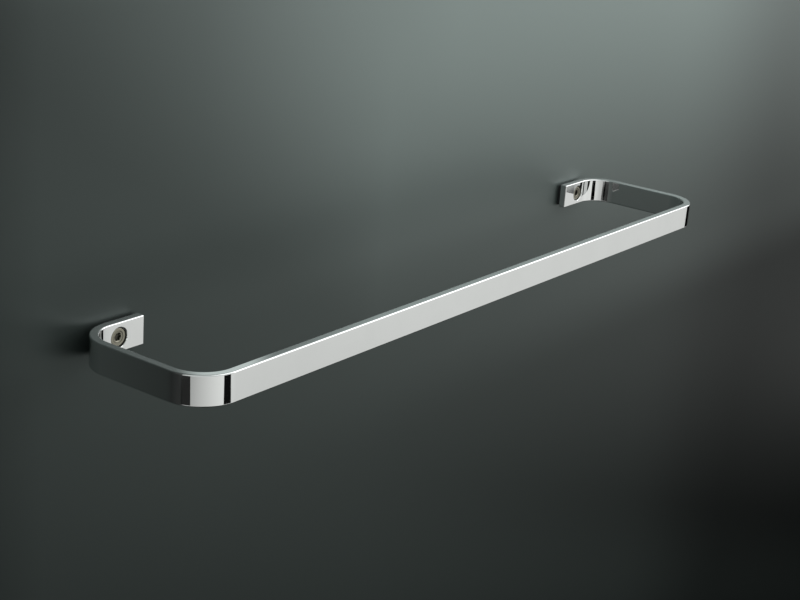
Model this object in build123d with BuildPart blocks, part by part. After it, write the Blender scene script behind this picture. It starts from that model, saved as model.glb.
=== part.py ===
from build123d import *

import os

# A wall-mounted towel rail. One flat band is bent at four corners into a long front bar, two arms
# and two tabs that lie against the wall. A screw in a counterbore holds each tab to a plug in the
# wall, with a thin pad between the tab and the wall.
#
# Millimetres. X runs along the wall, +Y goes into the wall and +Z is up. The origin is on the wall
# surface, midway between the two screws.

# Rail: lengths are measured outside to outside
rail_length = 618.0
rail_reach = 110.0
rail_height = 20.0
rail_thickness = 6.0
front_corner_radius = 28.0
rear_corner_radius = 26.0
tab_length = 55.0
edge_radius = 1.0

# Screw holes in the tabs
counterbore_to_bend = 1.25
screw_hole_diameter = 5.5
counterbore_diameter = 13.5
counterbore_depth = 4.0
counterbore_chamfer = 0.3

# Screws
head_diameter = 12.0
head_height = 2.2
head_rounding = 0.5
shank_diameter = 4.5
screw_length = 40.0
screw_point_length = 6.0
socket_diameter = 5.5
socket_lobe_diameter = 1.4
socket_core_diameter = 3.9
socket_lobe_count = 6
socket_depth = 1.6

# Washers under the heads
washer_diameter = 13.0
washer_bore_diameter = 5.0
washer_thickness = 0.8

# Pads between the tabs and the wall
pad_thickness = 2.0
pad_inset = 1.0
pad_corner_radius = 2.0
pad_hole_margin = 0.5

# Wall plugs
plug_diameter = 8.0
plug_length = 40.0
plug_bore_clearance = 0.1
plug_bore_end_gap = 1.0
plug_neck_length = 8.0
plug_nose_length = 5.0
plug_nose_diameter = 5.5
rib_count = 9
rib_depth = 0.5
slit_width = 1.2
slit_start = 14.0

# One overrun past a surface serves every through cut
overrun = 1.0

# Places that follow from the sizes above
side_x = rail_length / 2
tab_back_y = -pad_thickness
tab_front_y = tab_back_y - rail_thickness
rail_front_y = tab_back_y - rail_reach
tab_end_x = side_x - tab_length
pad_start_x = side_x - rear_corner_radius
pad_end_x = tab_end_x + pad_inset
screw_x = pad_start_x - counterbore_to_bend - counterbore_diameter / 2
screw_seat_y = tab_front_y + counterbore_depth - washer_thickness
head_face_y = screw_seat_y - head_height
screw_tip_y = screw_seat_y + screw_length
rib_pitch = (plug_length - plug_neck_length - plug_nose_length) / rib_count

sides = {"left": -1, "right": 1}


def facing_out(x, y):
    """A plane parallel to the wall at depth y, looking away from the wall, with its origin at x."""
    return Plane(origin=(x, y, 0), x_dir=Plane.XZ.x_dir, z_dir=Plane.XZ.z_dir)


def along_screw(x):
    """A level plane through a screw's axis at x: local Y runs into the wall."""
    return Plane(origin=(x, 0, 0))


def screw_axis(x):
    """The axis of the screw at x, pointing into the wall."""
    return Axis(origin=(x, 0, 0), direction=Plane.XY.y_dir)


def save(part, name):
    """Label a finished piece and write it under its own name."""
    part.label = name
    export_step(part, f"parts/{name}.step")


os.makedirs("parts", exist_ok=True)

# Rail: the band's path is drawn along its outer face and thickened inwards
with BuildPart() as towel_rail:
    with BuildSketch(Plane.XY.offset(-rail_height / 2)):
        with BuildLine():
            FilletPolyline(
                (-tab_end_x, tab_back_y),
                (-side_x, tab_back_y),
                (-side_x, rail_front_y),
                (side_x, rail_front_y),
                (side_x, tab_back_y),
                (tab_end_x, tab_back_y),
                radius=(rear_corner_radius, front_corner_radius, front_corner_radius, rear_corner_radius),
            )
            offset(amount=rail_thickness, side=Side.LEFT)
        make_face()
    extrude(amount=rail_height)

    # The rims of the band and the upright corners of the tab ends are eased alike
    rims = towel_rail.edges().group_by(Axis.Z)
    tab_ends = towel_rail.faces().filter_by(Axis.X).group_by(SortBy.AREA)[0]
    fillet(rims[0] + rims[-1] + tab_ends.edges().filter_by(Axis.Z), radius=edge_radius)

    # Counterbored screw holes, entered from the room side of each tab
    with Locations(facing_out(0, tab_front_y)):
        with Locations((-screw_x, 0), (screw_x, 0)):
            CounterBoreHole(
                radius=screw_hole_diameter / 2,
                counter_bore_radius=counterbore_diameter / 2,
                counter_bore_depth=counterbore_depth,
                depth=rail_thickness + overrun,
            )
    hole_edges = towel_rail.faces().filter_by(Axis.Y).edges().filter_by(GeomType.CIRCLE)
    chamfer(hole_edges.group_by(Axis.Y)[0], length=counterbore_chamfer)

save(towel_rail.part, "towel_rail")

for side_name, side in sides.items():
    x = side * screw_x

    # Screw: a low head with a rounded rim and a six-lobed socket, and a pointed shank
    with BuildPart() as screw:
        with BuildSketch(along_screw(x)):
            with BuildLine():
                rim = (head_diameter / 2, head_face_y)
                FilletPolyline((0, head_face_y), rim, (head_diameter / 2, screw_seat_y), radius=head_rounding)
                Polyline(
                    (head_diameter / 2, screw_seat_y),
                    (shank_diameter / 2, screw_seat_y),
                    (shank_diameter / 2, screw_tip_y - screw_point_length),
                    (0, screw_tip_y),
                    (0, head_face_y),
                )
            make_face()
        revolve(axis=screw_axis(x))
        with BuildSketch(facing_out(x, head_face_y)):
            Circle(socket_core_diameter / 2)
            with PolarLocations((socket_diameter - socket_lobe_diameter) / 2, socket_lobe_count):
                Circle(socket_lobe_diameter / 2)
        extrude(amount=-socket_depth, mode=Mode.SUBTRACT)
    save(screw.part, f"{side_name}_screw")

    # Washer: it lies on the counterbore's floor, under the head
    with BuildPart() as washer:
        with BuildSketch(facing_out(x, screw_seat_y)):
            Circle(washer_diameter / 2)
            Circle(washer_bore_diameter / 2, mode=Mode.SUBTRACT)
        extrude(amount=-washer_thickness)
    save(washer.part, f"{side_name}_screw_washer")

    # Pad: it covers the flat of the tab's back, with a hole that clears the plug's mouth
    with BuildPart() as pad:
        with BuildSketch(facing_out(x, tab_back_y)):
            with Locations((side * (pad_start_x + pad_end_x) / 2 - x, 0)):
                RectangleRounded(pad_start_x - pad_end_x, rail_height - 2 * pad_inset, pad_corner_radius)
            Circle(plug_diameter / 2 + pad_hole_margin, mode=Mode.SUBTRACT)
        extrude(amount=-pad_thickness)
    save(pad.part, f"{side_name}_wall_pad")

    # Plug: a plain neck at the wall surface, ribs whose steep sides hold it in, a blunt nose and a slit
    with BuildPart() as plug:
        root_radius = plug_diameter / 2 - rib_depth
        outline = [(0, 0), (plug_diameter / 2, 0)]
        for rib in range(rib_count):
            rib_start_y = plug_neck_length + rib * rib_pitch
            outline.append((plug_diameter / 2, rib_start_y))
            outline.append((root_radius, rib_start_y + rib_pitch))
        outline.append((plug_nose_diameter / 2, plug_length))
        outline.append((0, plug_length))
        with BuildSketch(along_screw(x)):
            with BuildLine():
                Polyline(*outline, close=True)
            make_face()
        revolve(axis=screw_axis(x))
        with BuildSketch(facing_out(x, slit_start)):
            Rectangle(slit_width, plug_diameter)
        extrude(amount=slit_start + plug_nose_length - plug_length, mode=Mode.SUBTRACT)
        with Locations(facing_out(x, 0)):
            Hole(shank_diameter / 2 + plug_bore_clearance, depth=screw_tip_y + plug_bore_end_gap)
    save(plug.part, f"{side_name}_wall_plug")
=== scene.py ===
"""A bent-band towel rail on a plain wall: its finished pieces, its stage and its camera."""

import math

import bmesh
import bpy
from bpy.props import FloatProperty, FloatVectorProperty, IntProperty, PointerProperty
from mathutils import Matrix, Vector


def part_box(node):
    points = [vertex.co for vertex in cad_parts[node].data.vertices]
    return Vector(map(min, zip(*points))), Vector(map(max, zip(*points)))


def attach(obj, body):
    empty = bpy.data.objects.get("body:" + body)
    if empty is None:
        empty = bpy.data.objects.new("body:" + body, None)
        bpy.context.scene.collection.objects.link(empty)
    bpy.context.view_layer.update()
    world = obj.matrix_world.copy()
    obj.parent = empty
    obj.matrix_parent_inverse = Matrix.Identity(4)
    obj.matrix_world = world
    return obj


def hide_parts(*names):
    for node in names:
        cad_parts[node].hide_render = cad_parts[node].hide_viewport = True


bl_info = {
    "name": "Bent-band towel rail",
    "version": (1, 0, 0),
    "blender": (4, 5, 0),
    "location": "3D View > Sidebar > Towel rail",
    "description": "Builds a chromed towel rail, its screws, pads and plugs, and a small studio round it",
    "category": "Object",
}

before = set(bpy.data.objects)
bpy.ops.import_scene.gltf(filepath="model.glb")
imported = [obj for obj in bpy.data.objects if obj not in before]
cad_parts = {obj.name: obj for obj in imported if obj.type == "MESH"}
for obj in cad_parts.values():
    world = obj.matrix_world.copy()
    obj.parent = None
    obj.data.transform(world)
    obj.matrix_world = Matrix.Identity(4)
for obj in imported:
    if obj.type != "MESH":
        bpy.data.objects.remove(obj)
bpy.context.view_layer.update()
rail_low, rail_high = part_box("towel_rail")
screw_low, screw_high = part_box("right_screw")

MM = 0.001
SIDES = {"left": -1, "right": 1}

# How far each screw's axis lies from the middle of the rail
SCREW_X = (screw_low.x + screw_high.x) / 2

# Facets round turned shapes, a plug's ribs and bore, and the driver's socket and its lobes,
# steps in the rounding of a head's rim, and points in each turn of the thread
TURNED_SEGMENTS = 96
PLUG_SEGMENTS = 64
CORE_SEGMENTS = 48
LOBE_SEGMENTS = 24
HEAD_RIM_STEPS = 6
THREAD_SEGMENTS = 20

# The thread swells from both ends, and its ridge takes up a share of the pitch
THREAD_SWELL = 14.0
THREAD_END_SHARE = 0.08
RIDGE_SHARE = 0.21

# Each rib of a plug is a little shorter than its pitch, and the bore ends this far before the plug does
RIB_LENGTH_SHARE = 0.975
BORE_END = 3.8 * MM

# The corners of the tab ends are eased a little less than the rims
TAB_END_SHARE = 0.9

# Edges sharper than these stay sharp in the shading. The last picks out the corners of the tab ends
BAND_SHARP = math.radians(35)
FIXING_SHARP = math.radians(32)
TAB_CORNER = math.radians(60)

# Slivers that cutting leaves are shorter than this
SLIVER = 0.0001 * MM

# Painted dark reflections: marks on the floor that only metal sees, as left, right, front and back in metres,
# and how dark
PAINTED_DARK_REFLECTIONS = (
    (-0.8, 1.75, -0.9, -0.02, 1.0),
    (1.75, 2.2, -0.5, 0.0, 1.0),
    (0.13, 0.8, -2.5, -1.85, 0.995),
    (-1.14, -0.07, -3.75, -3.15, 1.0),
    (3.3, 4.1, -1.37, 0.0, 1.0),
    (-2.6, -2.25, -0.78, 0.0, 0.965),
    (-3.5, -3.0, -0.875, 0.0, 0.94),
    (-3.4, -2.9, -1.42, -0.875, 1.0),
    (-3.1, -2.7, -1.8, -1.42, 0.85),
)

# The stage: half the floor's side, half the wall's width, its top and its gap behind y = 0, in metres
FLOOR_REACH = 40
WALL_REACH = 6
WALL_TOP = 3
WALL_GAP = 0.2 * MM


def length_property(name, description, millimetres):
    """A length that the sidebar shows in the scene's own unit."""
    return FloatProperty(name=name, description=description, default=millimetres * MM, unit="LENGTH")


def number_property(name, description, default, **kind):
    """A number, plain or with a unit or a least value."""
    return FloatProperty(name=name, description=description, default=default, **kind)


def count_property(name, description, default, least):
    """A whole number that doesn't go below its least value."""
    return IntProperty(name=name, description=description, default=default, min=least)


def angle_property(name, description, degrees):
    """An angle that the sidebar shows in degrees."""
    return FloatProperty(name=name, description=description, default=math.radians(degrees), subtype="ANGLE")


def colour_property(name, description, colour):
    """A colour as red, green and blue."""
    return FloatVectorProperty(name=name, description=description, subtype="COLOR", default=colour)


class RailSizes(bpy.types.PropertyGroup):
    """Sizes of the bent band and of the holes in its tabs"""

    thickness: length_property("Band thickness", "How thick the band is", 6)
    front_radius: length_property("Front corner radius", "Outer radius of the bends beside the front bar", 28)
    rear_radius: length_property("Rear corner radius", "Outer radius of the bends at the wall", 26)
    tab_length: length_property("Tab length", "From the band's side to the end of the tab on the wall", 55)
    edge_radius: length_property("Edge radius", "Rounding of the band's long edges", 1)
    counterbore_radius: length_property("Counterbore radius", "Radius of the screw's recess", 6.75)
    counterbore_depth: length_property("Counterbore depth", "Depth of the screw's recess", 4)
    counterbore_chamfer: length_property("Counterbore chamfer", "Easing of the recess's mouth", 0.3)
    screw_hole_radius: length_property("Screw hole radius", "Radius of the hole through the tab", 2.75)
    bend_segments: count_property("Bend segments", "Facets in each bend of the band", 48, 4)
    edge_segments: count_property("Edge segments", "Facets in each rounded long edge", 8, 2)


class FixingSizes(bpy.types.PropertyGroup):
    """Sizes of the screws and of the plugs that they turn into"""

    head_height: length_property("Head height", "From the head's face to its seat", 2.2)
    head_rounding: length_property("Head rounding", "Rounding of the head's rim", 0.5)
    rim_width: length_property("Rim width", "Width of the flat ring at the head's rim", 1.9)
    dish_depth: length_property("Dish depth", "How far the ring inside the rim lies below it", 0.25)
    lead_in_depth: length_property("Lead-in depth", "Depth of the cone that opens the socket", 0.35)
    socket_radius: length_property("Socket radius", "Radius over the socket's lobes", 2.75)
    lobe_radius: length_property("Lobe radius", "Radius of one lobe", 0.7)
    core_radius: length_property("Socket core radius", "Radius between the lobes", 1.95)
    socket_depth: length_property("Socket depth", "Depth of the socket below the head's face", 1.6)
    shank_radius: length_property("Shank radius", "Radius of the plain shank and of the thread", 2.25)
    root_radius: length_property("Root radius", "Radius between the thread's turns", 1.5)
    neck_length: length_property("Neck length", "Length of the plain shank", 7.0)
    point_length: length_property("Point length", "Length of the screw's point", 6.0)
    thread_pitch: length_property("Thread pitch", "From one turn of the thread to the next", 2.2)
    plug_neck: length_property("Plug neck", "Length of the plug's plain neck", 8.0)
    nose_length: length_property("Nose length", "Length of the plug's tapered nose", 5.0)
    nose_radius: length_property("Nose radius", "Radius of the nose's end", 2.75)
    rib_depth: length_property("Rib depth", "How far the ribs stand out", 0.5)
    rib_ease: length_property("Rib ease", "How far the ribs sink into the plug's body and neck", 0.04)
    mouth_chamfer: length_property("Mouth chamfer", "Easing of the plug's mouth", 0.4)
    bore_radius: length_property("Bore radius", "Radius of the plug's bore", 2.35)
    slit_width: length_property("Slit width", "Width of the slit that lets the plug spread", 1.2)
    slit_start: length_property("Slit start", "From the plug's mouth to its slit", 14.0)
    lobe_count: count_property("Lobe count", "Lobes of the socket", 6, 3)
    rib_count: count_property("Rib count", "Ribs along the plug", 9, 1)


class RailColours(bpy.types.PropertyGroup):
    """Colours of the finishes"""

    chrome: colour_property("Chrome", "Reflected colour of the plating", (0.80, 0.81, 0.81))
    steel: colour_property("Steel", "Reflected colour of the screws", (0.40, 0.38, 0.31))
    washer: colour_property("Washer", "Reflected colour of the washers", (0.30, 0.30, 0.29))
    rubber: colour_property("Rubber", "Colour of the pads behind the tabs", (0.03, 0.03, 0.032))
    nylon: colour_property("Nylon", "Colour of the wall plugs", (0.45, 0.47, 0.49))


class StudioSettings(bpy.types.PropertyGroup):
    """The stage, its light and the camera"""

    wall_colour: colour_property("Wall", "Colour of the backdrop wall", (0.085, 0.110, 0.103))
    floor_colour: colour_property("Floor", "Colour of the floor", (0.78, 0.79, 0.77))
    floor_drop: length_property("Floor drop", "How far the floor lies below the rail", 900)
    side_power: number_property("Side lamp power", "Power of the lamp at the right", 9.0, unit="POWER")
    rear_power: number_property("Rear lamp power", "Power of the lamp behind the wall", 9.0, unit="POWER")
    top_power: number_property("Top lamp power", "Power of the lamp above", 6.0, unit="POWER")
    surround: number_property("Surround", "Brightness of the studio all round", 0.22, min=0)
    backdrop: number_property("Backdrop", "Brightness of the studio to camera and metal", 0.62, min=0)
    # A painted sheen: how brightly a patch of the wall glows to metal
    sheen: number_property("Wall sheen", "Brightness of the lamp's sheen on the wall to metal", 0.46, min=0)
    lens: number_property("Lens", "Focal length", 69.37, unit="CAMERA")
    camera_place: FloatVectorProperty(
        name="Camera place",
        description="Where the camera stands",
        subtype="TRANSLATION",
        default=(-0.89685, -0.66936, 0.33906),
    )
    camera_turn: angle_property("Camera turn", "From the wall's normal to the right", 54.116)
    camera_dip: angle_property("Camera dip", "How far the camera looks below the horizon", 18.667)
    camera_roll: angle_property("Camera roll", "How far the camera leans", 4.202)


def new_object(name, mesh):
    """Put a mesh into the scene as an object at the origin."""
    piece = bpy.data.objects.new(name, mesh)
    bpy.context.scene.collection.objects.link(piece)
    return piece


def delete_object(piece):
    """Take a working object and its mesh out of the file."""
    mesh = piece.data
    bpy.data.objects.remove(piece, do_unlink=True)
    if mesh.users == 0:
        bpy.data.meshes.remove(mesh)


def settle(piece):
    """Turn everything that the modifiers make into the piece's own plain mesh."""
    graph = bpy.context.evaluated_depsgraph_get()
    result = bpy.data.meshes.new_from_object(piece.evaluated_get(graph), depsgraph=graph)
    old = piece.data
    piece.modifiers.clear()
    piece.data = result
    result.name = piece.name
    if old.users == 0:
        bpy.data.meshes.remove(old)


def true_normals(piece, sharp_angle):
    """Keep flats flat and curves smooth: large faces rule the shading beside small ones."""
    for face in piece.data.polygons:
        face.use_smooth = True
    piece.data.set_sharp_from_angle(angle=sharp_angle)
    weighted = piece.modifiers.new("Flats stay flat", "WEIGHTED_NORMAL")
    weighted.mode = "FACE_AREA"
    weighted.weight = 90
    weighted.keep_sharp = True
    settle(piece)


def lathe(name, outline, axis_x=0.0):
    """A solid turned about the line along Y at axis_x. The outline lists (radius, y) pairs."""
    shape = bmesh.new()
    rings = []
    for radius, y in outline:
        ring = []
        for step in range(TURNED_SEGMENTS if radius else 1):
            angle = step * math.tau / TURNED_SEGMENTS
            ring.append(shape.verts.new((axis_x + radius * math.cos(angle), y, radius * math.sin(angle))))
        rings.append(ring)
    for first, second in zip(rings, rings[1:]):
        for step in range(TURNED_SEGMENTS):
            following = (step + 1) % TURNED_SEGMENTS
            if len(first) == 1:
                shape.faces.new((first[0], second[step], second[following]))
            elif len(second) == 1:
                shape.faces.new((first[step], second[0], first[following]))
            else:
                shape.faces.new((first[step], second[step], second[following], first[following]))
    bmesh.ops.recalc_face_normals(shape, faces=shape.faces)
    mesh = bpy.data.meshes.new(name)
    shape.to_mesh(mesh)
    shape.free()
    return new_object(name, mesh)


class Tree:
    """A node tree under construction."""

    def __init__(self, tree):
        self.tree = tree

    def add(self, kind, **values):
        """Add a node and fill it."""
        return self.fill(self.tree.nodes.new(kind), **values)

    def made(self, kind, **values):
        """Add a node and fill it, for its first output."""
        return self.add(kind, **values).outputs[0]

    def fill(self, node, **values):
        """Give a node its values. Capitalised names are inputs, with _ for a space, the others settings."""
        for key, value in values.items():
            if key[0].isupper():
                self.give(node.inputs[key.replace("_", " ")], value)
            else:
                setattr(node, key, value)
        return node

    def give(self, target, value):
        """Join an output to an input, or set the input's own value."""
        if isinstance(value, bpy.types.NodeSocket):
            self.tree.links.new(value, target)
        else:
            target.default_value = value

    def maths(self, operation, first, second=0.0):
        node = self.add("ShaderNodeMath", operation=operation)
        self.give(node.inputs[0], first)
        self.give(node.inputs[1], second)
        return node.outputs[0]

    def times(self, first, *others):
        for other in others:
            first = self.maths("MULTIPLY", first, other)
        return first

    def plus(self, first, *others):
        for other in others:
            first = self.maths("ADD", first, other)
        return first

    def minus(self, first, second):
        return self.maths("SUBTRACT", first, second)

    def least(self, first, second):
        return self.maths("MINIMUM", first, second)

    def most(self, first, second):
        return self.maths("MAXIMUM", first, second)

    def split(self, vector):
        """The X, Y and Z of a vector."""
        return self.add("ShaderNodeSeparateXYZ", Vector=vector).outputs

    def vector(self, **parts):
        """A vector from its X, Y and Z, with zero for what isn't given."""
        return self.made("ShaderNodeCombineXYZ", **parts)


def geometry_tree(name, lengths, counts, places=()):
    """A Geometry Nodes tree and its inputs: a mesh, named places, lengths and counts, and a material."""
    tree = bpy.data.node_groups.new(name, "GeometryNodeTree")
    tree.interface.new_socket("Geometry", in_out="OUTPUT", socket_type="NodeSocketGeometry")
    kinds = {
        "NodeSocketGeometry": ("Geometry",),
        "NodeSocketVector": places,
        "NodeSocketFloat": lengths,
        "NodeSocketInt": counts,
        "NodeSocketMaterial": ("Material",),
    }
    for kind, labels in kinds.items():
        for label in labels:
            tree.interface.new_socket(label, in_out="INPUT", socket_type=kind)
    build = Tree(tree)
    return build, build.add("NodeGroupInput").outputs


def run_tree(piece, tree, sizes, **values):
    """Run a tree on a piece and keep its mesh. Inputs that aren't given take the sizes of the same names."""
    modifier = piece.modifiers.new(tree.name, "NODES")
    modifier.node_group = tree
    for item in tree.interface.items_tree:
        if item.in_out == "INPUT" and item.name != "Geometry":
            key = item.name.lower().replace(" ", "_")
            modifier[item.identifier] = values[key] if key in values else getattr(sizes, key)
    settle(piece)


def close_tree(build, given, geometry):
    """End a tree: real geometry in place of instances, then its material."""
    real = build.made("GeometryNodeRealizeInstances", Geometry=geometry)
    dressed = build.made("GeometryNodeSetMaterial", Geometry=real, Material=given["Material"])
    build.add("NodeGroupOutput", Geometry=dressed)
    return build.tree


def rounded(build, curve, segments, radius):
    """A curve with its corners rounded."""
    return build.made("GeometryNodeFilletCurve", mode="POLY", Curve=curve, Count=segments, Radius=radius)


def swept(build, path, section):
    """A closed solid with a section swept along a path, without leaning."""
    upright = build.made("GeometryNodeSetCurveNormal", mode="Z_UP", Curve=path)
    return build.made("GeometryNodeCurveToMesh", Curve=upright, Profile_Curve=section, Fill_Caps=True)


def four_sided(build, **sizes):
    """A closed outline with four corners, a rectangle unless its mode says otherwise."""
    return build.made("GeometryNodeCurvePrimitiveQuadrilateral", **sizes)


def band_tree():
    """Sweep a rounded rectangle along the band's path, with each corner of the path rounded."""
    lengths = ("Height", "Thickness", "Front radius", "Rear radius", "Front limit", "Edge radius")
    build, given = geometry_tree("Bent band", lengths, ("Bend segments", "Edge segments"))
    in_front = build.add("FunctionNodeCompare", data_type="FLOAT", operation="LESS_THAN")
    build.give(in_front.inputs[0], build.split(build.made("GeometryNodeInputPosition"))["Y"])
    build.give(in_front.inputs[1], given["Front limit"])
    corner = build.add("GeometryNodeSwitch", input_type="FLOAT", Switch=in_front.outputs["Result"])
    build.give(corner.inputs["False"], given["Rear radius"])
    build.give(corner.inputs["True"], given["Front radius"])
    path = build.made("GeometryNodeMeshToCurve", Mesh=given["Geometry"])
    bends = rounded(build, path, given["Bend segments"], corner.outputs["Output"])
    section = four_sided(build, Width=given["Thickness"], Height=given["Height"])
    eased = rounded(build, section, given["Edge segments"], given["Edge radius"])
    return close_tree(build, given, swept(build, bends, eased))


def rail_path(sizes):
    """The middle line of the band as six points joined by edges, tab end to tab end."""
    half = sizes.thickness / 2
    side_x = rail_high.x - half
    back_y = rail_high.y - half
    front_y = rail_low.y + half
    end_x = rail_high.x - sizes.tab_length
    right = [(side_x, front_y, 0), (side_x, back_y, 0), (end_x, back_y, 0)]
    points = [(-x, y, z) for x, y, z in reversed(right)] + right
    mesh = bpy.data.meshes.new("rail_path")
    mesh.from_pydata(points, [(start, start + 1) for start in range(len(points) - 1)], [])
    return mesh


def moved(build, geometry, **turn_or_shift):
    """Geometry turned and shifted."""
    return build.made("GeometryNodeTransform", Geometry=geometry, **turn_or_shift)


def turned_to_wall(build, geometry, place):
    """Turn what was built along Z so that it points into the wall, and bring it to its place."""
    return moved(build, geometry, Translation=place, Rotation=(-math.pi / 2, 0, 0))


def copies_at(build, points, shape):
    """A real copy of a shape at each point."""
    copies = build.made("GeometryNodeInstanceOnPoints", Points=points, Instance=shape)
    return build.made("GeometryNodeRealizeInstances", Geometry=copies)


def rod(build, segments, radius, depth):
    """A cylinder along Z, half of it on each side of the origin."""
    return build.made("GeometryNodeMeshCylinder", Vertices=segments, Radius=radius, Depth=depth)


def boolean_of(build, operation, first, second):
    """Join two solids, or cut the second out of the first."""
    node = build.add("GeometryNodeMeshBoolean", operation=operation, solver="EXACT")
    build.give(node.inputs["Mesh 2"], second)
    build.give(node.inputs["Mesh 1" if operation == "DIFFERENCE" else "Mesh 2"], first)
    return node.outputs["Mesh"]


def driver_socket(build, given):
    """The lobed shape that is pressed into a screw's head."""
    both_ways = build.times(given["Socket depth"], 2.0)
    core = rod(build, CORE_SEGMENTS, given["Core radius"], both_ways)
    lobe = rod(build, LOBE_SEGMENTS, given["Lobe radius"], both_ways)
    reach = build.minus(given["Socket radius"], given["Lobe radius"])
    places = build.made("GeometryNodeMeshCircle", Vertices=given["Lobe count"], Radius=reach)
    star = boolean_of(build, "UNION", core, copies_at(build, places, lobe))
    return turned_to_wall(build, star, given["Place"])


def wound_thread(build, given):
    """A ridge wound along a helix, thinner towards both ends."""
    helix = build.made(
        "GeometryNodeCurveSpiral",
        Resolution=THREAD_SEGMENTS,
        Rotations=build.maths("DIVIDE", given["Thread length"], given["Thread pitch"]),
        Start_Radius=given["Root radius"],
        End_Radius=given["Root radius"],
        Height=given["Thread length"],
    )
    along = build.made("GeometryNodeSplineParameter")
    from_end = build.least(along, build.minus(1.0, along))
    swell = build.least(build.plus(build.times(from_end, THREAD_SWELL), THREAD_END_SHARE), 1.0)
    tapered = build.made("GeometryNodeSetCurveRadius", Curve=helix, Radius=swell)
    width = build.times(build.minus(given["Thread radius"], given["Root radius"]), 2.0)
    half_height = build.times(given["Thread pitch"], RIDGE_SHARE)
    ridge = four_sided(build, mode="KITE", Width=width, Bottom_Height=half_height, Top_Height=half_height)
    thread = moved(build, swept(build, tapered, ridge), Translation=build.vector(Z=given["Thread start"]))
    return turned_to_wall(build, thread, given["Place"])


def screw_tree():
    """Cut the lobed socket into a turned blank and wind the thread round its shank."""
    socket = ("Socket radius", "Lobe radius", "Core radius", "Socket depth")
    thread = ("Thread start", "Thread length", "Thread pitch", "Root radius", "Thread radius")
    build, given = geometry_tree("Screw", socket + thread, ("Lobe count",), ("Place",))
    threaded = boolean_of(build, "UNION", given["Geometry"], wound_thread(build, given))
    return close_tree(build, given, boolean_of(build, "DIFFERENCE", threaded, driver_socket(build, given)))


def rib_row(build, given):
    """Ribs along a plug, each with its steep side to the mouth."""
    row = build.made(
        "GeometryNodeMeshLine",
        mode="OFFSET",
        Count=given["Rib count"],
        Start_Location=build.vector(Z=given["First rib"]),
        Offset=build.vector(Z=given["Rib pitch"]),
    )
    rib = build.made(
        "GeometryNodeMeshCone",
        Vertices=PLUG_SEGMENTS,
        Radius_Top=given["Root radius"],
        Radius_Bottom=given["Rib radius"],
        Depth=build.times(given["Rib pitch"], RIB_LENGTH_SHARE),
    )
    return turned_to_wall(build, copies_at(build, row, rib), given["Place"])


def plug_tree():
    """Set the ribs round a turned blank, and cut its bore and its slit."""
    ribs = ("Rib radius", "Root radius", "First rib", "Rib pitch")
    cuts = ("Bore radius", "Bore depth", "Slit width", "Slit length", "Slit middle")
    build, given = geometry_tree("Wall plug", ribs + cuts, ("Rib count",), ("Place",))
    bore = rod(build, PLUG_SEGMENTS, given["Bore radius"], build.times(given["Bore depth"], 2.0))
    bore = turned_to_wall(build, bore, given["Place"])
    right_through = build.times(given["Rib radius"], 3.0)
    slit_size = build.vector(X=given["Slit width"], Y=right_through, Z=given["Slit length"])
    slit = build.made("GeometryNodeMeshCube", Size=slit_size)
    slit = moved(build, slit, Translation=build.vector(Z=given["Slit middle"]))
    slit = turned_to_wall(build, slit, given["Place"])
    ribbed = boolean_of(build, "UNION", given["Geometry"], rib_row(build, given))
    bored = boolean_of(build, "DIFFERENCE", ribbed, bore)
    return close_tree(build, given, boolean_of(build, "DIFFERENCE", bored, slit))


def new_material(name, **values):
    """A material, its tree under construction and its Principled shader with the values given."""
    material = bpy.data.materials.new(name)
    material.use_nodes = True
    build = Tree(material.node_tree)
    return material, build, build.fill(material.node_tree.nodes["Principled BSDF"], **values)


def shader_group(name, numbers, results):
    """A shader node group under construction, with a place and named numbers in, and numbers out."""
    tree = bpy.data.node_groups.new(name, "ShaderNodeTree")
    tree.interface.new_socket("Place", in_out="INPUT", socket_type="NodeSocketVector")
    for label in numbers:
        tree.interface.new_socket(label, in_out="INPUT", socket_type="NodeSocketFloat")
    for label in results:
        tree.interface.new_socket(label, in_out="OUTPUT", socket_type="NodeSocketFloat")
    build = Tree(tree)
    return build, build.add("NodeGroupInput").outputs


def ranged(build, value, low, high, to_low, to_high, smooth=False):
    """Bring a value from one range to another, held at both ends."""
    return build.made(
        "ShaderNodeMapRange",
        interpolation_type="SMOOTHSTEP" if smooth else "LINEAR",
        Value=value,
        From_Min=low,
        From_Max=high,
        To_Min=to_low,
        To_Max=to_high,
    )


def window(build, value, low, high, soft):
    """One between two values and zero beyond them, with soft ends."""
    rise = ranged(build, value, low - soft, low, 0.0, 1.0, smooth=True)
    fall = ranged(build, value, high, high + soft, 1.0, 0.0, smooth=True)
    return build.times(rise, fall)


def patch(build, *spans):
    """One where every span holds. A span is a value, its low and high end and how soft they are."""
    return build.times(*(window(build, *span) for span in spans))


def noise(build, **values):
    """Soft noise as a value between zero and one."""
    return build.made("ShaderNodeTexNoise", **values)


def blended(build, share, first, second):
    """Go from the first number to the second by a mask."""
    mix = build.add("ShaderNodeMix", data_type="FLOAT")
    for target, value in zip((mix.inputs[0], mix.inputs[2], mix.inputs[3]), (share, first, second)):
        build.give(target, value)
    return mix.outputs[0]


def tinted(build, share, first, second):
    """Go from the first colour to the second by a mask."""
    mix = build.add("ShaderNodeMix", data_type="RGBA")
    build.give(mix.inputs[0], share)
    for target, colour in ((mix.inputs[6], first), (mix.inputs[7], second)):
        build.give(target, colour if isinstance(colour, bpy.types.NodeSocket) else (*colour, 1))
    return mix.outputs[2]


def darker(colour, share):
    """A colour taken down to a share of its brightness."""
    return tuple(part * share for part in colour)


def bumped(build, shader, height, distance, strength=1.0):
    """Feed a height to the shader's normal."""
    bump = build.made("ShaderNodeBump", Height=height, Distance=distance, Strength=strength)
    build.fill(shader, Normal=bump)


def object_place(build):
    """Where a point lies on the object, in metres, as a vector and as its X, Y and Z."""
    place = build.add("ShaderNodeTexCoord").outputs["Object"]
    return place, build.split(place)


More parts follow.
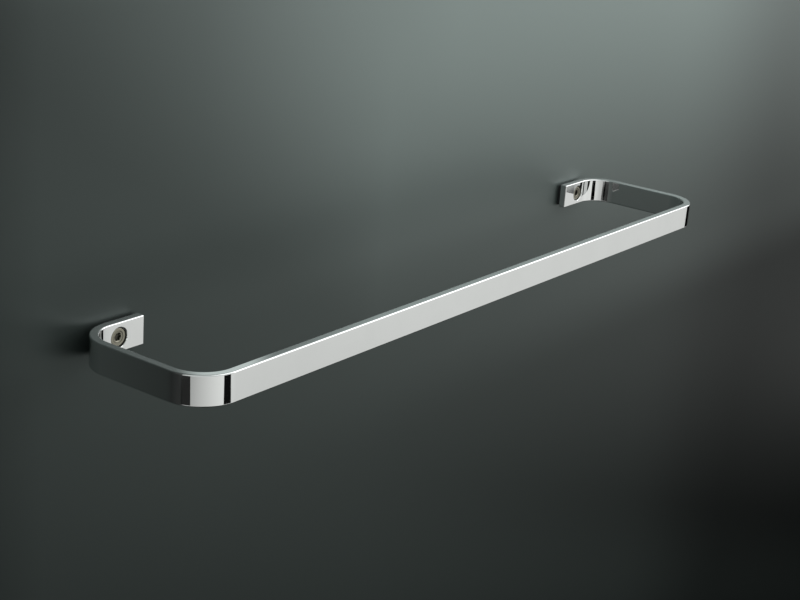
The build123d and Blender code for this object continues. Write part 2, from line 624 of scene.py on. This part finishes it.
def surface_wear_group():
    """Uneven finish: a soft cloud and a fine grain give a mask, a roughness and a height."""
    numbers = ("Cloud scale", "Grain scale", "Low roughness", "High roughness", "Grain share")
    build, given = shader_group("Surface wear", numbers, ("Mask", "Roughness", "Height"))
    cloud = noise(
        build, Vector=given["Place"], Scale=given["Cloud scale"], Detail=5.0, Roughness=0.6, Distortion=0.4
    )
    grain = noise(build, Vector=given["Place"], Scale=given["Grain scale"], Detail=2.0, Roughness=0.5)
    soft = ranged(build, cloud, 0.38, 0.68, 0.0, 1.0, smooth=True)
    mask = blended(build, given["Grain share"], soft, grain)
    roughness = ranged(build, mask, 0.0, 1.0, given["Low roughness"], given["High roughness"])
    build.add("NodeGroupOutput", Mask=mask, Roughness=roughness, Height=mask)
    return build.tree


def turned_marks_group():
    """Marks that run round each screw's axis: rings as a height, and how far out a point lies."""
    build, given = shader_group("Turned marks", ("Axis distance", "Ring spacing"), ("Radius", "Rings"))
    place = build.split(given["Place"])
    sideways = build.minus(build.maths("ABSOLUTE", place["X"]), given["Axis distance"])
    square = build.plus(build.times(sideways, sideways), build.maths("POWER", place["Z"], 2.0))
    radius = build.maths("SQRT", square)
    turns = build.maths("DIVIDE", radius, given["Ring spacing"])
    rings = noise(build, noise_dimensions="1D", W=turns, Scale=1.0, Detail=3.0, Roughness=0.7)
    build.add("NodeGroupOutput", Radius=radius, Rings=rings)
    return build.tree


def surface_wear(build, place, cloud_scale, grain_scale, roughness, grain_share):
    """Place the shared wear group in a material, with its lowest and highest roughness."""
    group = build.add(
        "ShaderNodeGroup",
        node_tree=bpy.data.node_groups.get("Surface wear") or surface_wear_group(),
        Place=place,
        Cloud_scale=cloud_scale,
        Grain_scale=grain_scale,
        Low_roughness=roughness[0],
        High_roughness=roughness[1],
        Grain_share=grain_share,
    )
    return group.outputs


def turned_marks(build, place, ring_spacing):
    """Place the shared group of turned marks in a material."""
    group = build.add(
        "ShaderNodeGroup",
        node_tree=bpy.data.node_groups.get("Turned marks") or turned_marks_group(),
        Place=place,
        Axis_distance=SCREW_X,
        Ring_spacing=ring_spacing,
    )
    return group.outputs


def polished_chrome(colour, counterbore_radius):
    """Bright plating: faint haze and wiping marks, softer rims, and machined screw holes."""
    material, build, shader = new_material("polished_chrome", Metallic=1.0)
    place, parts = object_place(build)
    haze = surface_wear(build, place, 34.0, 900.0, (0.028, 0.05), 0.15)
    off_middle = build.maths("ABSOLUTE", parts["Z"])
    rim = ranged(build, off_middle, rail_high.z - 0.6 * MM, rail_high.z - 0.1 * MM, 0.0, 0.06, smooth=True)
    turned = turned_marks(build, place, 0.16 * MM)
    hole_edge = (counterbore_radius + 0.2 * MM, counterbore_radius - 0.05 * MM)
    near_axis = ranged(build, turned["Radius"], *hole_edge, 0.0, 0.3)
    on_tab = ranged(build, parts["Y"], rail_high.y - 10 * MM, rail_high.y - 9 * MM, 0.0, 1.0)
    hole = build.times(near_axis, on_tab)
    tint = tinted(build, haze["Mask"], colour, darker(colour, 0.98))
    build.fill(shader, Roughness=build.plus(haze["Roughness"], rim, hole), Base_Color=tint)

    fine, coarse, upright = 500.0, 9.0, 1900.0
    lines = []
    for scale in ((coarse, fine, upright), (fine, coarse, upright)):
        stretched = build.made("ShaderNodeMapping", Vector=place, Scale=scale)
        lines.append(noise(build, Vector=stretched, Scale=1.0, Detail=2.0))
    off_centre = build.maths("ABSOLUTE", parts["X"])
    on_arm = ranged(build, off_centre, rail_high.x - 29 * MM, rail_high.x - 23 * MM, 0.0, 1.0)
    wiping = build.plus(blended(build, on_arm, *lines), build.times(haze["Height"], 2.0))
    machining = build.times(turned["Rings"], build.times(hole, 60.0))
    bumped(build, shader, build.plus(wiping, machining), 0.0006 * MM)
    return material


def satin_steel(name, colour, socket_radius):
    """Turned steel: rings round the axis, a brushed sheen, and painted shade in the socket and round the step
    in the head.
    """
    material, build, shader = new_material(name, Metallic=1.0)
    place, parts = object_place(build)
    finish = surface_wear(build, place, 420.0, 5200.0, (0.26, 0.44), 0.35)
    turned = turned_marks(build, place, 0.11 * MM)
    ringed = tinted(build, turned["Rings"], colour, darker(colour, 0.62))
    worn = tinted(build, build.times(finish["Mask"], 0.5), ringed, darker(colour, 0.7))

    face_y, seat_y, dish_edge = screw_low.y, screw_low.y + 2.2 * MM, 3.9 * MM
    inside = ranged(build, turned["Radius"], socket_radius + 0.3 * MM, socket_radius, 0.0, 1.0)
    deep = ranged(build, parts["Y"], face_y + 0.3 * MM, face_y + 0.7 * MM, 0.0, 1.0)
    above_seat = ranged(build, parts["Y"], seat_y, seat_y - 0.1 * MM, 0.0, 1.0)
    off_step = build.maths("ABSOLUTE", build.minus(turned["Radius"], dish_edge))
    step = ranged(build, off_step, 0.1 * MM, 0.4 * MM, 0.75, 0.0, smooth=True)
    # Painted shade: darker deep inside the socket and round the step in the head, where shade falls
    painted_shade = build.most(build.times(inside, deep, above_seat), build.times(step, above_seat))
    shade_darkened = tinted(build, painted_shade, worn, darker(colour, 0.16))
    build.fill(shader, Roughness=finish["Roughness"], Base_Color=shade_darkened)
    height = build.plus(turned["Rings"], build.times(finish["Height"], 0.5))
    bumped(build, shader, height, 0.012 * MM, 0.6)
    return material


def soft_rubber(colour):
    """Dark matt rubber with a fine grain and a little dust."""
    material, build, shader = new_material("soft_rubber", Specular_IOR_Level=0.35)
    grain = surface_wear(build, object_place(build)[0], 160.0, 3600.0, (0.66, 0.9), 0.55)
    dusty = tuple(part * 2.1 + 0.012 for part in colour)
    tint = tinted(build, grain["Mask"], colour, dusty)
    build.fill(shader, Roughness=grain["Roughness"], Base_Color=tint)
    bumped(build, shader, grain["Height"], 0.06 * MM)
    return material


def moulded_nylon(colour, bore_radius):
    """Grey moulded nylon with a fine grain and a parting line."""
    material, build, shader = new_material("moulded_nylon")
    place, parts = object_place(build)
    grain = surface_wear(build, place, 240.0, 4200.0, (0.38, 0.56), 0.4)
    greyer = darker(colour, 0.78)
    shaded = tinted(build, grain["Mask"], colour, greyer)
    off_line = build.maths("ABSOLUTE", parts["Z"])
    line = ranged(build, off_line, 0.06 * MM, 0.14 * MM, 1.0, 0.0, smooth=True)
    radius = turned_marks(build, place, 1.2 * MM)["Radius"]
    on_outside = ranged(build, radius, bore_radius + 0.15 * MM, bore_radius + 0.35 * MM, 0.0, 1.0)
    parting = build.times(line, on_outside)
    tint = tinted(build, build.times(parting, 0.35), shaded, greyer)
    build.fill(shader, Roughness=grain["Roughness"], Base_Color=tint)
    height = build.plus(build.times(grain["Height"], 0.3), build.times(parting, 1.2))
    bumped(build, shader, height, 0.05 * MM)
    return material


def dress_node(name, material):
    """Give a piece that keeps its solid shape its finish."""
    for holder in bpy.data.objects[name].material_slots:
        holder.material = material


def bring_to_axis(piece, low, high):
    """Clear the slivers that cutting leaves, then move a piece made at the origin to its solid's middle."""
    shape = bmesh.new()
    shape.from_mesh(piece.data)
    bmesh.ops.dissolve_degenerate(shape, dist=SLIVER, edges=shape.edges)
    bmesh.ops.translate(shape, vec=((low.x + high.x) / 2, 0, 0), verts=shape.verts)
    shape.to_mesh(piece.data)
    shape.free()


def finish_fixing(piece, node):
    """Declare a detailed piece that stands for one of the solids."""
    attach(piece, "root")
    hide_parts(node)


class TOWEL_RAIL_OT_band(bpy.types.Operator):
    """Bend the chromed band and sink its two screw holes"""

    bl_idname = "towel_rail.band"
    bl_label = "Bent band"

    def execute(self, context):
        sizes = context.scene.rail_sizes
        half = sizes.thickness / 2
        band = new_object("rail_band", rail_path(sizes))
        chrome = polished_chrome(context.scene.rail_colours.chrome, sizes.counterbore_radius)
        run_tree(
            band,
            band_tree(),
            sizes,
            height=rail_high.z - rail_low.z,
            front_radius=sizes.front_radius - half,
            rear_radius=sizes.rear_radius - half,
            front_limit=(rail_low.y + rail_high.y) / 2,
            material=chrome,
        )
        ends = band.modifiers.new("Tab ends", "BEVEL")
        ends.limit_method = "ANGLE"
        ends.angle_limit = TAB_CORNER
        ends.width = sizes.edge_radius * TAB_END_SHARE
        ends.segments = 4
        settle(band)
        self.sink_holes(band, sizes)
        true_normals(band, BAND_SHARP)
        band.data.materials.clear()
        band.data.materials.append(chrome)
        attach(band, "root")
        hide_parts("towel_rail")
        return {"FINISHED"}

    def sink_holes(self, band, sizes):
        """Cut both counterbored screw holes with one turned shape each."""
        face_y = rail_high.y - sizes.thickness
        floor_y = face_y + sizes.counterbore_depth
        start_y, end_y = face_y - sizes.thickness, rail_high.y + sizes.thickness
        recess, hole = sizes.counterbore_radius, sizes.screw_hole_radius
        mouth = recess + sizes.counterbore_chamfer
        outline = [
            (0, start_y),
            (mouth, start_y),
            (mouth, face_y),
            (recess, face_y + sizes.counterbore_chamfer),
            (recess, floor_y),
            (hole, floor_y),
            (hole, end_y),
            (0, end_y),
        ]
        for name, side in SIDES.items():
            cutter = lathe(f"{name}_counterbore", outline, side * SCREW_X)
            cut = band.modifiers.new(cutter.name, "BOOLEAN")
            cut.operation = "DIFFERENCE"
            cut.solver = "EXACT"
            cut.object = cutter
            settle(band)
            delete_object(cutter)


class TOWEL_RAIL_OT_screws(bpy.types.Operator):
    """Make the two threaded screws with their lobed sockets, and finish their washers"""

    bl_idname = "towel_rail.screws"
    bl_label = "Screws and washers"

    def execute(self, context):
        sizes = context.scene.fixing_sizes
        colours = context.scene.rail_colours
        steel = satin_steel("screw_steel", colours.steel, sizes.socket_radius)
        zinc = satin_steel("washer_steel", colours.washer, 0.0)
        tree = screw_tree()
        for side in SIDES:
            low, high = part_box(f"{side}_screw")
            screw = lathe(f"{side}_threaded_screw", self.blank_outline(sizes, low, high))
            thread_start = sizes.head_height + sizes.neck_length
            run_tree(
                screw,
                tree,
                sizes,
                place=(0, low.y, 0),
                thread_start=thread_start,
                thread_length=high.y - low.y - thread_start - sizes.point_length,
                thread_radius=sizes.shank_radius,
                material=steel,
            )
            bring_to_axis(screw, low, high)
            true_normals(screw, FIXING_SHARP)
            finish_fixing(screw, f"{side}_screw")
            dress_node(f"{side}_screw_washer", zinc)
        return {"FINISHED"}

    def blank_outline(self, sizes, low, high):
        """The turned shape of the screw before its socket is pressed and its thread rolled."""
        face_y, tip_y = low.y, high.y
        seat_y = face_y + sizes.head_height
        head_radius = (high.x - low.x) / 2
        rim_inner = head_radius - sizes.rim_width
        dish_y = face_y + sizes.dish_depth
        cone_y = dish_y + sizes.lead_in_depth
        lead_in_radius = sizes.socket_radius + sizes.lead_in_depth * 0.8
        outline = [
            (0, cone_y),
            (sizes.socket_radius * 0.9, cone_y),
            (lead_in_radius, dish_y),
            (rim_inner - sizes.dish_depth, dish_y),
            (rim_inner, face_y),
        ]
        for step in range(HEAD_RIM_STEPS + 1):
            angle = step * math.pi / 2 / HEAD_RIM_STEPS
            radius = head_radius - sizes.head_rounding * (1 - math.sin(angle))
            outline.append((radius, face_y + sizes.head_rounding * (1 - math.cos(angle))))
        neck_end = seat_y + sizes.neck_length
        outline += [
            (head_radius, seat_y),
            (sizes.shank_radius, seat_y),
            (sizes.shank_radius, neck_end),
            (sizes.root_radius, neck_end + sizes.shank_radius - sizes.root_radius),
            (sizes.root_radius, tip_y - sizes.point_length),
            (sizes.root_radius * 0.1, tip_y - sizes.root_radius * 0.1),
            (0, tip_y),
        ]
        return outline


class TOWEL_RAIL_OT_plugs(bpy.types.Operator):
    """Make the two ribbed wall plugs and finish the pads"""

    bl_idname = "towel_rail.plugs"
    bl_label = "Wall plugs and pads"

    def execute(self, context):
        sizes = context.scene.fixing_sizes
        colours = context.scene.rail_colours
        nylon = moulded_nylon(colours.nylon, sizes.bore_radius)
        rubber = soft_rubber(colours.rubber)
        tree = plug_tree()
        for side in SIDES:
            low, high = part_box(f"{side}_wall_plug")
            rib_radius = (high.x - low.x) / 2
            length = high.y - low.y
            ribbed_length = length - sizes.plug_neck - sizes.nose_length
            slit_end = length - sizes.nose_length - sizes.rib_ease
            plug = lathe(f"{side}_ribbed_plug", self.blank_outline(sizes, low, high, rib_radius))
            run_tree(
                plug,
                tree,
                sizes,
                place=(0, low.y, 0),
                rib_radius=rib_radius - sizes.rib_ease,
                root_radius=rib_radius - sizes.rib_depth - sizes.rib_ease,
                first_rib=sizes.plug_neck - sizes.rib_ease,
                rib_pitch=ribbed_length / sizes.rib_count,
                bore_depth=length - BORE_END,
                slit_length=slit_end - sizes.slit_start,
                slit_middle=(slit_end + sizes.slit_start) / 2,
                material=nylon,
            )
            bring_to_axis(plug, low, high)
            true_normals(plug, FIXING_SHARP)
            finish_fixing(plug, f"{side}_wall_plug")
            dress_node(f"{side}_wall_pad", rubber)
        return {"FINISHED"}

    def blank_outline(self, sizes, low, high, rib_radius):
        """The moulded shape of the plug without its ribs, bore and slit."""
        root_radius = rib_radius - sizes.rib_depth
        neck_end = low.y + sizes.plug_neck
        nose_start = high.y - sizes.nose_length
        return [
            (0, low.y),
            (rib_radius - sizes.mouth_chamfer, low.y),
            (rib_radius, low.y + sizes.mouth_chamfer),
            (rib_radius, neck_end),
            (root_radius, neck_end),
            (root_radius, nose_start),
            (sizes.nose_radius, high.y - sizes.mouth_chamfer),
            (sizes.nose_radius - sizes.mouth_chamfer, high.y),
            (0, high.y),
        ]


def stage_sheet(name, low, high, material):
    """One flat sheet of the stage between two opposite corners, facing up or to the front."""
    (left, front, bottom), (right, back, top) = low, high
    mesh = bpy.data.meshes.new(name)
    mesh.from_pydata([low, (right, front, bottom), high, (left, back, top)], [], [(0, 1, 2, 3)])
    mesh.materials.append(material)
    sheet = new_object(name, mesh)


def blend_surfaces(material, build, share, first, second):
    """Show the second surface where share is one and the first elsewhere."""
    mix = build.add("ShaderNodeMixShader")
    for target, value in zip(mix.inputs, (share, first, second)):
        build.give(target, value)
    build.give(material.node_tree.nodes["Material Output"].inputs["Surface"], mix.outputs["Shader"])


def seen_directly(build, rays):
    """One for what the camera, metal and glass see, and zero for the light that surfaces scatter."""
    return build.plus(rays["Is Camera Ray"], rays["Is Glossy Ray"], rays["Is Transmission Ray"])


class TOWEL_RAIL_OT_stage(bpy.types.Operator):
    """Set up the wall, the floor, the light and the camera"""

    bl_idname = "towel_rail.stage"
    bl_label = "Stage, light and camera"

    def execute(self, context):
        studio = context.scene.rail_studio
        for name in ("Cube", "Light", "Camera"):
            start = bpy.data.objects.get(name)
            if start:
                bpy.data.objects.remove(start, do_unlink=True)
        self.wall_and_floor(studio)
        self.light(studio)
        self.camera(studio)
        context.scene.view_settings.view_transform = "Standard"
        return {"FINISHED"}

    def wall_and_floor(self, studio):
        floor_z = -studio.floor_drop
        floor_corners = (-FLOOR_REACH, -FLOOR_REACH, floor_z), (FLOOR_REACH, FLOOR_REACH, floor_z)
        wall_corners = (-WALL_REACH, WALL_GAP, floor_z), (WALL_REACH, WALL_GAP, WALL_TOP)
        stage_sheet("floor", *floor_corners, self.floor_paint(studio))
        stage_sheet("wall", *wall_corners, self.wall_paint(studio))

    def floor_paint(self, studio):
        """A pale floor whose glow carries painted light and shade. Only metal sees its painted dark
        reflections, and only the wall sees the painted shade below the rail.
        """
        colour = (*studio.floor_colour, 1)
        paint, build, shader = new_material(
            "pale_floor", Base_Color=colour, Roughness=0.9, Specular_IOR_Level=0.1
        )
        rays = build.add("ShaderNodeLightPath").outputs
        parts = object_place(build)[1]
        across, forward = parts["X"], parts["Y"]
        marks = 0.0
        for left, right, front, back, darkness in PAINTED_DARK_REFLECTIONS:
            inside = patch(build, (across, left, right, 0.05), (forward, front, back, 0.02))
            marks = build.most(marks, build.times(inside, darkness))
        # Painted shade: near the wall the floor goes dark to diffuse rays, so it throws no light onto the
        # wall below the rail
        below = patch(build, (across, -1.9, 2.4, 0.2), (forward, -0.9, -0.02, 0.02))
        # Painted dark reflections: the marks darken the floor for glossy rays only
        painted_reflections = build.times(marks, rays["Is Glossy Ray"])
        dark = build.plus(painted_reflections, build.times(below, rays["Is Diffuse Ray"]))
        own_glow = build.times(seen_directly(build, rays), 0.85)
        share = build.most(own_glow, dark)

        # Painted light and shade in the floor's glow: lighter towards the front, darker to the left and a
        # little right of the middle
        farther = ranged(build, forward, -3.0, -0.6, 1.32, 0.9)
        leftward = ranged(build, across, -2.4, 0.0, -0.33, 0.0)
        rightward = build.times(window(build, across, 0.9, 1.3, 0.9), 0.08)
        painted_floor_light = build.minus(build.plus(farther, leftward), rightward)
        strength = build.times(painted_floor_light, build.minus(1.0, dark))
        glow = build.made("ShaderNodeEmission", Color=colour, Strength=strength)
        blend_surfaces(paint, build, share, shader.outputs["BSDF"], glow)
        return paint

    def wall_tone(self, build, across, height):
        """Painted light and shade on the wall: lightest high up and right of the middle, darker low down, at
        both ends, above the rail's left part and below the rail towards the right.
        """
        upward = build.plus(height, build.times(build.least(across, 0.0), 0.7))
        lower = ranged(build, upward, -0.55, -0.05, 0.19, 0.34)
        upper = ranged(build, upward, -0.09, 0.17, 0.0, 0.66, smooth=True)
        right_end = ranged(build, across, 0.45, 0.75, 1.0, 0.5, smooth=True)
        left_end = ranged(build, across, -0.45, -0.33, 0.3, 1.0)
        # Painted shade above the left of the rail and below it towards the right
        painted_shade_above_left = build.times(
            ranged(build, height, 0.06, 0.2, 0.0, 1.0), ranged(build, across, -0.2, 0.08, 0.4, 0.0)
        )
        slanting = build.plus(height, build.times(across, 0.4))
        painted_shade_below_right = build.times(
            ranged(build, height, -0.17, -0.09, 1.0, 0.0, smooth=True),
            ranged(build, slanting, -0.3, -0.17, 0.0, 1.0, smooth=True),
            ranged(build, across, -0.2, 0.6, 0.0, 0.6),
        )
        kept = build.minus(1.0, build.most(painted_shade_above_left, painted_shade_below_right))
        return build.times(build.plus(lower, upper), right_end, left_end, kept)

    def wall_paint(self, studio):
        """Dark satin paint with the painted light and shade of wall_tone and a painted sheen that only metal
        sees, and clear where it is seen from behind.
        """
        paint, build, shader = new_material("wall_paint", Roughness=0.45, IOR=1.9)
        parts = object_place(build)[1]
        across, height = parts["X"], parts["Z"]
        painted_light = self.wall_tone(build, across, height)
        # Painted sheen: a small patch of the wall glows, and only metal sees it
        sheen = patch(build, (across, -0.185, -0.15, 0.035), (height, 0.06, 0.1, 0.03))
        painted_sheen_to_metal = build.times(sheen, build.add("ShaderNodeLightPath").outputs["Is Glossy Ray"])
        build.fill(
            shader,
            Base_Color=tinted(build, painted_light, (0, 0, 0), studio.wall_colour),
            Specular_IOR_Level=painted_light,
            Specular_Tint=(0.86, 1.0, 0.97, 1),
            Emission_Color=(0.9, 1.0, 0.97, 1),
            Emission_Strength=build.times(painted_sheen_to_metal, studio.sheen),
        )
        from_behind = build.add("ShaderNodeNewGeometry").outputs["Backfacing"]
        clear = build.made("ShaderNodeBsdfTransparent")
        blend_surfaces(paint, build, from_behind, shader.outputs["BSDF"], clear)
        return paint

    def light(self, studio):
        world = bpy.data.worlds.new("studio")
        world.use_nodes = True
        build = Tree(world.node_tree)
        sky = world.node_tree.nodes["Background"]
        sky.inputs["Color"].default_value = (0.95, 1.0, 0.98, 1)
        seen = seen_directly(build, build.add("ShaderNodeLightPath").outputs)
        build.give(sky.inputs["Strength"], ranged(build, seen, 0.0, 1.0, studio.surround, studio.backdrop))
        bpy.context.scene.world = world
        self.lamp("side_softbox", studio.side_power, (1.8, 1.1), (1.35, -0.95, 0.66), (0.0, 0.0, 0.1))
        self.lamp("rear_softbox", studio.rear_power, (1.6, 1.0), (0.5, 1.3, 1.0), (0.0, 0.0, 0.0))
        self.lamp("top_softbox", studio.top_power, (2.0, 1.0), (0.7, -0.6, 1.1), (0.4, 0.0, 0.2))

    def lamp(self, name, power, size, place, target):
        """One rectangular softbox, facing its target."""
        light = bpy.data.lights.new(name, "AREA")
        light.shape = "RECTANGLE"
        light.size, light.size_y = size
        light.energy = power
        softbox = bpy.data.objects.new(name, light)
        bpy.context.scene.collection.objects.link(softbox)
        softbox.location = place
        aim = Vector(target) - Vector(place)
        softbox.rotation_euler = aim.to_track_quat("-Z", "Y").to_euler()

    def camera(self, studio):
        """Stand the camera where the photograph's perspective puts it."""
        turn, dip, roll = studio.camera_turn, studio.camera_dip, studio.camera_roll
        ahead = Vector((math.sin(turn) * math.cos(dip), math.cos(turn) * math.cos(dip), -math.sin(dip)))
        level = Vector((math.cos(turn), -math.sin(turn), 0))
        above = level.cross(ahead)
        right = level * math.cos(roll) + above * math.sin(roll)
        up = above * math.cos(roll) - level * math.sin(roll)
        lens = bpy.data.cameras.new("camera")
        lens.sensor_width = 36
        lens.lens = studio.lens
        lens.clip_start = 0.01
        viewer = bpy.data.objects.new("camera", lens)
        bpy.context.scene.collection.objects.link(viewer)
        turned = Matrix((right, up, -ahead)).transposed().to_4x4()
        viewer.matrix_world = Matrix.Translation(Vector(studio.camera_place)) @ turned
        bpy.context.scene.camera = viewer


STEPS = (TOWEL_RAIL_OT_band, TOWEL_RAIL_OT_screws, TOWEL_RAIL_OT_plugs, TOWEL_RAIL_OT_stage)


class TOWEL_RAIL_PT_panel(bpy.types.Panel):
    """Lists the steps that make the towel rail"""

    bl_idname = "TOWEL_RAIL_PT_panel"
    bl_label = "Towel rail"
    bl_space_type = "VIEW_3D"
    bl_region_type = "UI"
    bl_category = "Towel rail"

    def draw(self, context):
        for step in STEPS:
            self.layout.operator(step.bl_idname)


# The sidebar's settings, by their names in the scene
SETTINGS = {
    "rail_sizes": RailSizes,
    "fixing_sizes": FixingSizes,
    "rail_colours": RailColours,
    "rail_studio": StudioSettings,
}
CLASSES = (*SETTINGS.values(), *STEPS, TOWEL_RAIL_PT_panel)


def register():
    for item in CLASSES:
        bpy.utils.register_class(item)
    for name, group in SETTINGS.items():
        setattr(bpy.types.Scene, name, PointerProperty(type=group))


def unregister():
    for name in SETTINGS:
        delattr(bpy.types.Scene, name)
    for item in reversed(CLASSES):
        bpy.utils.unregister_class(item)


def main():
    register()
    bpy.ops.towel_rail.band()
    bpy.ops.towel_rail.screws()
    bpy.ops.towel_rail.plugs()
    bpy.ops.towel_rail.stage()


if __name__ == "__main__":
    main()
